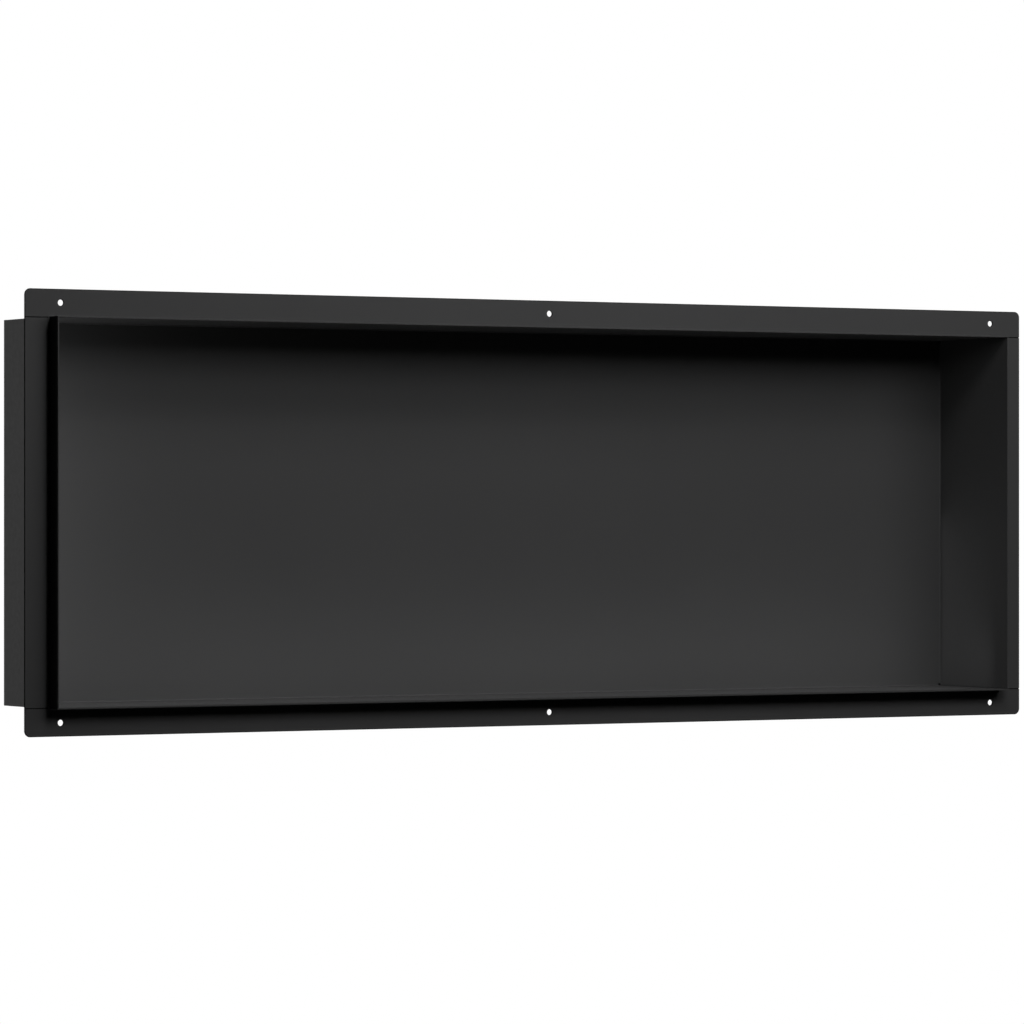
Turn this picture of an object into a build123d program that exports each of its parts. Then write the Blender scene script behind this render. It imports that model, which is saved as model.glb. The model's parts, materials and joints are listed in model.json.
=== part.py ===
"""Recessed wall niche: a box folded from one coated steel sheet, with a screw flange welded round it.

The flange sits behind the front of the box, so that the edge of the box stands proud of it as a thin lip.

Frame: the origin is the centre of the opening, in the plane of the wall that the flange is screwed to.
+X runs along the length, +Y goes into the wall, +Z is up, and the open front faces -Y.
"""
from build123d import *
import os

# Driving dimensions, in millimetres
inside_width = 905.0
inside_height = 305.0
inside_depth = 102.0  # front of the lip to the face of the back panel
sheet = 1.2  # box and lip
bend_radius = 1.2  # inside radius of the folds round the back panel
lip_height = 14.4  # front of the flange to the front of the lip
edge_radius = 0.3  # rounded front edges of the lip
flange_sheet = 1.5
flange_width = 23.0  # inside face of the opening to the outer edge of the flange
flange_corner_radius = 5.0
rim_radius = 0.6  # rounded front and rear edges of the flange
weld_radius = 1.2  # hollow face of the weld in the corner between lip and flange
screw_hole_diameter = 5.1
screw_edge_distance = 10.8  # hole centre to the top or bottom edge
screw_end_distance = 31.0  # hole centre to the left or right edge
seam_width = 0.7  # open joint between a side strip of the flange and the strip above or below
corner_seam = 0.4  # open root of the weld where a side wall meets the floor or the ceiling
relief_diameter = 1.6  # bend relief at the corners of the back panel
weld_thickness = 0.4  # metal that closes each seam and relief from behind

# Derived sizes
half_width = inside_width / 2
half_height = inside_height / 2
flange_front = -flange_sheet
lip_front = flange_front - lip_height
back_face = lip_front + inside_depth
flange_length = inside_width + 2 * flange_width
flange_height = inside_height + 2 * flange_width
screw_spacing_x = (flange_length - 2 * screw_end_distance) / 2
screw_spacing_z = flange_height - 2 * screw_edge_distance

# The wall plane: its normal points out of the wall, into the room
wall = Plane.XZ


def welded_side(outward, reach, length):
    """One side of the opening: back fold, wall, lip, and the strip of flange welded to its outer face.

    The section has x outward from the opening and y into the wall. It runs along the side and is mitred.
    """
    along = outward.cross(Vector(0, 1, 0))
    middle = outward * reach
    fold_start = back_face - bend_radius
    rear_face = back_face + sheet
    weld_start = flange_front - weld_radius
    weld_end = sheet + weld_radius
    with BuildPart() as side:
        with BuildSketch(Plane(origin=middle, x_dir=outward, z_dir=along)):
            with BuildLine():
                TangentArc((-bend_radius, back_face), (0, fold_start), tangent=(1, 0))
                Line((0, fold_start), (0, lip_front + edge_radius))
                TangentArc((0, lip_front + edge_radius), (edge_radius, lip_front), tangent=(0, -1))
                Line((edge_radius, lip_front), (sheet - edge_radius, lip_front))
                TangentArc((sheet - edge_radius, lip_front), (sheet, lip_front + edge_radius), tangent=(1, 0))
                Line((sheet, lip_front + edge_radius), (sheet, weld_start))
                TangentArc((sheet, weld_start), (weld_end, flange_front), tangent=(0, 1))
                Polyline((weld_end, flange_front), (flange_width, flange_front), (flange_width, 0))
                Polyline((flange_width, 0), (sheet, 0), (sheet, fold_start))
                TangentArc((sheet, fold_start), (-bend_radius, rear_face), tangent=(0, 1))
                Line((-bend_radius, rear_face), (-bend_radius, back_face))
            make_face()
        extrude(amount=length / 2 + flange_width, both=True)
        for end in (along, -along):
            mitre = Plane(origin=middle + end * (length / 2), z_dir=end - outward)
            split(bisect_by=mitre, keep=Keep.BOTTOM)
    return side.part


floor, ceiling = (welded_side(Vector(0, 0, z), half_height, inside_width) for z in (-1, 1))
right, left = (welded_side(Vector(x, 0, 0), half_width, inside_height) for x in (1, -1))

with BuildPart() as niche_shell:
    add([floor, ceiling, right, left])

    # Back panel, between its four folds
    with BuildSketch(wall.offset(-back_face)):
        Rectangle(inside_width - 2 * bend_radius, inside_height - 2 * bend_radius)
    extrude(amount=-sheet)

    # Rounded corners of the flange, then its rounded rim at front and rear
    across_sheet = niche_shell.edges().filter_by(Axis.Y).group_by(Axis.X)
    fillet(across_sheet[0] + across_sheet[-1], flange_corner_radius)
    flange_faces = niche_shell.faces().filter_by(Axis.Y).filter_by_position(Axis.Y, flange_front, 0)
    fillet([edge for face in flange_faces for edge in face.outer_wire().edges()], rim_radius)

    # Screw holes along the top and the bottom of the flange
    with Locations(wall):
        with GridLocations(screw_spacing_x, screw_spacing_z, 3, 2):
            Hole(screw_hole_diameter / 2)

    # Butt seams at the ends of the flange's side strips, from the weld at the lip out over the rim
    seam_start = half_width + sheet + weld_radius
    seam_end = half_width + flange_width + sheet
    with BuildSketch(wall.offset(flange_sheet)):
        with GridLocations(seam_start + seam_end, inside_height + sheet, 2, 2):
            Rectangle(seam_end - seam_start, seam_width)
    extrude(amount=weld_thickness - flange_sheet, mode=Mode.SUBTRACT)

    # Weld roots along the corners where the side walls meet the floor and the ceiling
    with BuildSketch(wall.offset(-lip_front)):
        with GridLocations(inside_width + corner_seam, inside_height - corner_seam, 2, 2):
            Rectangle(corner_seam, corner_seam)
    extrude(amount=-inside_depth + bend_radius, mode=Mode.SUBTRACT)

    # Bend reliefs at the corners of the back panel
    with BuildSketch(wall.offset(bend_radius - back_face)):
        with GridLocations(inside_width - 2 * bend_radius, inside_height - 2 * bend_radius, 2, 2):
            Circle(relief_diameter / 2)
    extrude(amount=-bend_radius - sheet + weld_thickness, mode=Mode.SUBTRACT)

niche_shell.part.label = "niche_shell"
os.makedirs("parts", exist_ok=True)
export_step(niche_shell.part, "parts/niche_shell.step")
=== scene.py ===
"""Looks of the recessed wall niche: matte black coated steel in soft studio light, on a white ground."""
import json
import math

import bpy
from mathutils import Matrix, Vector


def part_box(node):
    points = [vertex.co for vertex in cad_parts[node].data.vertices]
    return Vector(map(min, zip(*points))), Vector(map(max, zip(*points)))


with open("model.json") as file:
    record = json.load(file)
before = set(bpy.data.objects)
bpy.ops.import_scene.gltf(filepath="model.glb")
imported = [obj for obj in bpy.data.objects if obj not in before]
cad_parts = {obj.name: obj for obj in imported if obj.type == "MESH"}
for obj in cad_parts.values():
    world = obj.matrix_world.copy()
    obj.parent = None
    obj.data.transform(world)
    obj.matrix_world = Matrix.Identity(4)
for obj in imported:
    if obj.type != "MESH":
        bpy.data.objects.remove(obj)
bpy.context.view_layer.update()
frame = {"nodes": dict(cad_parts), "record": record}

# Sizes of the niche, in metres
MM = 0.001
NODE = "niche_shell"
LOW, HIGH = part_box(NODE)
SCREWS = frame["record"]["mounts"][0]["dims"]
SCREW_X = SCREWS["spacing_x_mm"] / 2 * MM
SCREW_Z = SCREWS["spacing_y_mm"] / 2 * MM
SCREW_RADIUS = SCREWS["hole_r_mm"] * MM
SHEET = 1.2 * MM
WELD_RADIUS = 1.2 * MM
FLANGE_WIDTH = 23.0 * MM
FLANGE_CORNER_RADIUS = 5.0 * MM
BEND_RADIUS = 1.2 * MM
RELIEF_RADIUS = 0.8 * MM
SEAM_WIDTH = 0.7 * MM
HALF_WIDTH = HIGH.x - FLANGE_WIDTH
HALF_HEIGHT = HIGH.z - FLANGE_WIDTH
BACK_FACE = HIGH.y - SHEET
INSIDE_DEPTH = BACK_FACE - LOW.y

# Coating: its colours, and the painted shade on its rim, in its holes, seams and reliefs
COAT_DARK = (0.0343, 0.0343, 0.0347, 1.0)
COAT_LIGHT = (0.0358, 0.0358, 0.0361, 1.0)
# Near black colour for shade painted on the cut rim, in the holes, seams and bend reliefs
COAT_PAINTED_SHADE = (0.0015, 0.0015, 0.0016, 1.0)
RIM_LINE = 0.50 * MM
HOLE_LINE = 0.25 * MM
LINE_SOFTNESS = 0.2 * MM
SEAM_SOFTNESS = 0.1 * MM

# Coating: its sheen and surface, with the scales in features per metre
COAT_ROUGHNESS = (0.44, 0.52)
COAT_SPECULAR = 0.08
CLOUD_SCALE = 9.0
CLOUD_DETAIL = 3.0
PEEL_SCALE = 260.0
GRAIN_SCALE = 1600.0
FINE_DETAIL = 2.0
PEEL_SHARE = 1.5
BUMP_STRENGTH = 0.12
BUMP_DEPTH = 0.06 * MM
NOISE_RANGE = (0.3, 0.7)

# Camera: a long lens at mid height, to the left of the niche
IMAGE_PIXELS = 1024
SENSOR_MM = 36.0
FOCAL_PIXELS = 5180.5
CAMERA_PLACE = (-2.1704, -3.6940, -0.0028)
CAMERA_YAW = math.radians(30.03)
CAMERA_PITCH = math.radians(0.048)

# Floor, and the part of the world behind the niche, as the range of a direction's Y
FLOOR_DROP = 1.0
FLOOR_HALF = 2.2
FLOOR_PALE = (0.80, 0.80, 0.80, 1.0)
FLOOR_SPECKLE = (0.78, 0.78, 0.78, 1.0)
FLOOR_SPECKLE_SCALE = 60.0
FLOOR_UNSEEN = (0.02, 0.02, 0.02, 1.0)
FLOOR_ROUGHNESS = 0.9
FLOOR_GLOW = 0.62
WHITE = (1.0, 1.0, 1.0, 1.0)
BEHIND = (0.30, 0.55)

# Softboxes: places and sizes in metres, powers in watts
KEY_PLACE = Vector((0.30, -0.885, 0.445))
KEY_SIZE = (1.26, 0.31)
KEY_POWER = 7.6
TOP_PLACE = Vector((-0.12, -0.905, 0.94))
TOP_SIZE = (0.30, 0.30)
TOP_POWER = 4.8
FAR_PLACE = Vector((-0.10, -1.60, 1.25))
FAR_SIZE = (0.30, 0.30)
FAR_POWER = 7.6

# Light that the niche throws back inside itself, in the same units
LIP_BOUNCE_HEIGHT = 25 * MM
LIP_BOUNCE_SIZE = (0.86, 0.015)
LIP_BOUNCE_POWER = 0.205
PANEL_BOUNCE_SIZE = (0.90, 0.15)
PANEL_BOUNCE_POWER = 0.33
WALL_BOUNCE_SIZE = (0.094, 0.30)
WALL_BOUNCE_POWER = 0.16
BOUNCE_GAP = 0.5 * MM
INTO_WALL = Vector((0, 1, 0))
TO_RIGHT = Vector((1, 0, 0))

# Colour sockets of a mix node, by number, because its sockets for other types have the same names
MIX_FIRST = 6
MIX_SECOND = 7
MIX_RESULT = 2


def new_material(name):
    """An empty node material: its node tree, and its principled shader already wired to the output."""
    material = bpy.data.materials.new(name)
    material.use_nodes = True
    tree = material.node_tree
    tree.nodes.clear()
    output = tree.nodes.new("ShaderNodeOutputMaterial")
    shader = tree.nodes.new("ShaderNodeBsdfPrincipled")
    tree.links.new(shader.outputs["BSDF"], output.inputs["Surface"])
    return material, tree, shader


def math_node(tree, operation, *values):
    """A math node whose inputs are numbers or sockets."""
    node = tree.nodes.new("ShaderNodeMath")
    node.operation = operation
    for socket, value in zip(node.inputs, values):
        if isinstance(value, (int, float)):
            socket.default_value = value
        else:
            tree.links.new(value, socket)
    return node.outputs[0]


def length_2d(tree, across, up):
    """Length of a flat vector."""
    squared = math_node(tree, "MULTIPLY_ADD", across, across, math_node(tree, "MULTIPLY", up, up))
    return math_node(tree, "SQRT", squared)


def remap(tree, value, from_low, from_high, to_low, to_high):
    """A value moved from one range to another, and kept inside it."""
    node = tree.nodes.new("ShaderNodeMapRange")
    ends = {"From Min": from_low, "From Max": from_high, "To Min": to_low, "To Max": to_high}
    for socket_name, number in ends.items():
        node.inputs[socket_name].default_value = number
    tree.links.new(value, node.inputs["Value"])
    return node.outputs["Result"]


def noise(tree, where, scale, detail):
    """Noise over the object's own space, about one feature every 1/scale metres."""
    node = tree.nodes.new("ShaderNodeTexNoise")
    node.inputs["Scale"].default_value = scale
    node.inputs["Detail"].default_value = detail
    tree.links.new(where, node.inputs["Vector"])
    return node.outputs["Fac"]


def spread_noise(tree, value, low=0.0, high=1.0):
    """A noise value spread from its usual range over another one."""
    return remap(tree, value, *NOISE_RANGE, low, high)


def mix_colour(tree, factor, first, second):
    """Two colours, or colour sockets, mixed by a socket."""
    node = tree.nodes.new("ShaderNodeMix")
    node.data_type = "RGBA"
    tree.links.new(factor, node.inputs["Factor"])
    for number, colour in ((MIX_FIRST, first), (MIX_SECOND, second)):
        socket = node.inputs[number]
        if isinstance(colour, tuple):
            socket.default_value = colour
        else:
            tree.links.new(colour, socket)
    return node.outputs[MIX_RESULT]


def within(tree, distance, limit, softness=LINE_SOFTNESS):
    """1 where a distance is under the limit, falling to 0 over the softness."""
    return remap(tree, distance, limit - softness / 2, limit + softness / 2, 1.0, 0.0)


def rim_mask(tree, x, z):
    """1 on the cut rim of the flange and on a thin line along it, where shade is painted."""
    across = math_node(tree, "SUBTRACT", x, HIGH.x - FLANGE_CORNER_RADIUS)
    up = math_node(tree, "SUBTRACT", z, HIGH.z - FLANGE_CORNER_RADIUS)
    outside = length_2d(tree, math_node(tree, "MAXIMUM", across, 0.0), math_node(tree, "MAXIMUM", up, 0.0))
    inside = math_node(tree, "MINIMUM", math_node(tree, "MAXIMUM", across, up), 0.0)
    depth = math_node(tree, "SUBTRACT", FLANGE_CORNER_RADIUS, math_node(tree, "ADD", outside, inside))
    return within(tree, depth, RIM_LINE)


def hole_mask(tree, x, z):
    """1 in the screw holes and on a thin ring around them, where shade is painted."""
    to_end_hole = math_node(tree, "ABSOLUTE", math_node(tree, "SUBTRACT", x, SCREW_X))
    across = math_node(tree, "MINIMUM", x, to_end_hole)
    up = math_node(tree, "SUBTRACT", z, SCREW_Z)
    return within(tree, length_2d(tree, across, up), SCREW_RADIUS + HOLE_LINE)


def seam_mask(tree, x, z):
    """1 in the butt seams of the side flanges, where shade is painted."""
    seam_middle = HALF_HEIGHT + SHEET / 2
    off_seam = math_node(tree, "ABSOLUTE", math_node(tree, "SUBTRACT", z, seam_middle))
    in_seam = within(tree, off_seam, SEAM_WIDTH / 2, SEAM_SOFTNESS)
    on_flange = math_node(tree, "GREATER_THAN", x, HALF_WIDTH + SHEET + WELD_RADIUS)
    return math_node(tree, "MULTIPLY", in_seam, on_flange)


def relief_mask(tree, x, y, z):
    """1 in the bend reliefs at the corners of the back panel, and on a thin ring around them, where shade is
    painted.
    """
    across = math_node(tree, "SUBTRACT", x, HALF_WIDTH - BEND_RADIUS)
    up = math_node(tree, "SUBTRACT", z, HALF_HEIGHT - BEND_RADIUS)
    in_relief = within(tree, length_2d(tree, across, up), RELIEF_RADIUS + HOLE_LINE)
    at_back = math_node(tree, "GREATER_THAN", y, BACK_FACE - 2 * BEND_RADIUS)
    return math_node(tree, "MULTIPLY", in_relief, at_back)


def coated_steel():
    """Matte black coating, with faint clouds, orange peel and fine grain.

    It has painted shade, a near black colour, on the cut rim, in the holes and reliefs, and in the seams.
    """
    material, tree, shader = new_material("coated_steel")
    where = tree.nodes.new("ShaderNodeTexCoord").outputs["Object"]
    place = tree.nodes.new("ShaderNodeSeparateXYZ")
    tree.links.new(where, place.inputs[0])
    x = math_node(tree, "ABSOLUTE", place.outputs["X"])
    y = place.outputs["Y"]
    z = math_node(tree, "ABSOLUTE", place.outputs["Z"])
    # Painted shade: near black on the cut rim, in the holes, seams and bend reliefs, where shade falls
    painted_shade = math_node(tree, "MAXIMUM", rim_mask(tree, x, z), hole_mask(tree, x, z))
    painted_shade = math_node(tree, "MAXIMUM", painted_shade, seam_mask(tree, x, z))
    painted_shade = math_node(tree, "MAXIMUM", painted_shade, relief_mask(tree, x, y, z))

    cloud = noise(tree, where, CLOUD_SCALE, CLOUD_DETAIL)
    peel = noise(tree, where, PEEL_SCALE, FINE_DETAIL)
    grain = noise(tree, where, GRAIN_SCALE, FINE_DETAIL)
    coat = mix_colour(tree, spread_noise(tree, cloud), COAT_DARK, COAT_LIGHT)
    # The painted shade is mixed into the coat's colour here
    tree.links.new(mix_colour(tree, painted_shade, coat, COAT_PAINTED_SHADE), shader.inputs["Base Color"])
    rough = math_node(tree, "MAXIMUM", spread_noise(tree, peel, *COAT_ROUGHNESS), painted_shade)
    tree.links.new(rough, shader.inputs["Roughness"])
    shader.inputs["Specular IOR Level"].default_value = COAT_SPECULAR

    bump = tree.nodes.new("ShaderNodeBump")
    bump.inputs["Strength"].default_value = BUMP_STRENGTH
    bump.inputs["Distance"].default_value = BUMP_DEPTH
    tree.links.new(math_node(tree, "MULTIPLY_ADD", peel, PEEL_SHARE, grain), bump.inputs["Height"])
    tree.links.new(bump.outputs["Normal"], shader.inputs["Normal"])
    return material


def pale_floor():
    """Plain pale floor: it shows pale and takes the object's shadow, but throws hardly any light back up."""
    material, tree, shader = new_material("pale_floor")
    where = tree.nodes.new("ShaderNodeTexCoord").outputs["Object"]
    path = tree.nodes.new("ShaderNodeLightPath")
    by_camera = path.outputs["Is Camera Ray"]
    seen = math_node(tree, "MAXIMUM", by_camera, path.outputs["Is Glossy Ray"])
    seen = math_node(tree, "MAXIMUM", seen, path.outputs["Is Transmission Ray"])
    speckle = spread_noise(tree, noise(tree, where, FLOOR_SPECKLE_SCALE, FINE_DETAIL))
    pale = mix_colour(tree, speckle, FLOOR_PALE, FLOOR_SPECKLE)
    tree.links.new(mix_colour(tree, seen, FLOOR_UNSEEN, pale), shader.inputs["Base Color"])
    shader.inputs["Roughness"].default_value = FLOOR_ROUGHNESS
    shader.inputs["Specular IOR Level"].default_value = 0.0

    # Towards its edge the floor runs out into the white ground
    distance = tree.nodes.new("ShaderNodeVectorMath")
    distance.operation = "LENGTH"
    tree.links.new(where, distance.inputs[0])
    glow = remap(tree, distance.outputs["Value"], FLOOR_HALF / 2, FLOOR_HALF, FLOOR_GLOW, 1.0)
    shader.inputs["Emission Color"].default_value = WHITE
    tree.links.new(math_node(tree, "MULTIPLY", glow, by_camera), shader.inputs["Emission Strength"])
    return material


def add_floor():
    bpy.ops.mesh.primitive_plane_add(size=2 * FLOOR_HALF, location=(0, 0, -FLOOR_DROP))
    floor = bpy.context.object
    floor.name = "floor"
    floor.data.materials.append(pale_floor())


def add_world():
    """White to the camera all round; a white ground behind the niche, and a dark studio before it."""
    world = bpy.data.worlds.new("studio")
    bpy.context.scene.world = world
    world.use_nodes = True
    tree = world.node_tree
    tree.nodes.clear()
    output = tree.nodes.new("ShaderNodeOutputWorld")
    background = tree.nodes.new("ShaderNodeBackground")
    background.inputs["Color"].default_value = WHITE
    tree.links.new(background.outputs[0], output.inputs["Surface"])
    by_camera = tree.nodes.new("ShaderNodeLightPath").outputs["Is Camera Ray"]
    direction = tree.nodes.new("ShaderNodeSeparateXYZ")
    tree.links.new(tree.nodes.new("ShaderNodeTexCoord").outputs["Generated"], direction.inputs[0])
    behind = remap(tree, direction.outputs["Y"], *BEHIND, 0.0, 1.0)
    tree.links.new(math_node(tree, "MAXIMUM", by_camera, behind), background.inputs["Strength"])


def add_lamp(name, place, direction, size, power):
    """A rectangular lamp that the camera doesn't see."""
    lamp = bpy.data.lights.new(name, "AREA")
    lamp.shape = "RECTANGLE"
    lamp.size, lamp.size_y = size
    lamp.energy = power
    holder = bpy.data.objects.new(name, lamp)
    bpy.context.scene.collection.objects.link(holder)
    holder.location = place
    holder.rotation_euler = direction.to_track_quat("-Z", "Y").to_euler()
    holder.visible_camera = False
    return holder


def add_softboxes():
    """Softboxes above the front, aimed at the middle of the opening."""
    for name, place, size, power in (
        ("key", KEY_PLACE, KEY_SIZE, KEY_POWER),
        ("top", TOP_PLACE, TOP_SIZE, TOP_POWER),
        ("far", FAR_PLACE, FAR_SIZE, FAR_POWER),
    ):
        add_lamp(name, place, -place, size, power)


def add_bounces():
    """Weak lamps inside the niche, for the light that its lip, back panel and left wall throw back."""
    lip = (0, 0, LIP_BOUNCE_HEIGHT - HALF_HEIGHT)
    panel = (0, BACK_FACE - BOUNCE_GAP, PANEL_BOUNCE_SIZE[1] / 2 - HALF_HEIGHT)
    wall = (BOUNCE_GAP - HALF_WIDTH, LOW.y + INSIDE_DEPTH / 2, WALL_BOUNCE_SIZE[1] / 2 - HALF_HEIGHT)
    for name, place, direction, size, power in (
        ("lip_bounce", lip, INTO_WALL, LIP_BOUNCE_SIZE, LIP_BOUNCE_POWER),
        ("panel_bounce", panel, -INTO_WALL, PANEL_BOUNCE_SIZE, PANEL_BOUNCE_POWER),
        ("wall_bounce", wall, TO_RIGHT, WALL_BOUNCE_SIZE, WALL_BOUNCE_POWER),
    ):
        bounce = add_lamp(name, place, direction, size, power)
        bounce.visible_glossy = False


def add_camera():
    lens = bpy.data.cameras.new("camera")
    lens.sensor_width = SENSOR_MM
    lens.lens = FOCAL_PIXELS * SENSOR_MM / IMAGE_PIXELS
    camera = bpy.data.objects.new("camera", lens)
    bpy.context.scene.collection.objects.link(camera)
    camera.location = CAMERA_PLACE
    camera.rotation_euler = (math.pi / 2 + CAMERA_PITCH, 0, -CAMERA_YAW)
    bpy.context.scene.camera = camera


shell = frame["nodes"][NODE]
for material_slot in shell.material_slots:
    material_slot.material = coated_steel()

add_floor()
add_world()
add_softboxes()
add_bounces()
add_camera()

bpy.context.scene.view_settings.view_transform = "Standard"
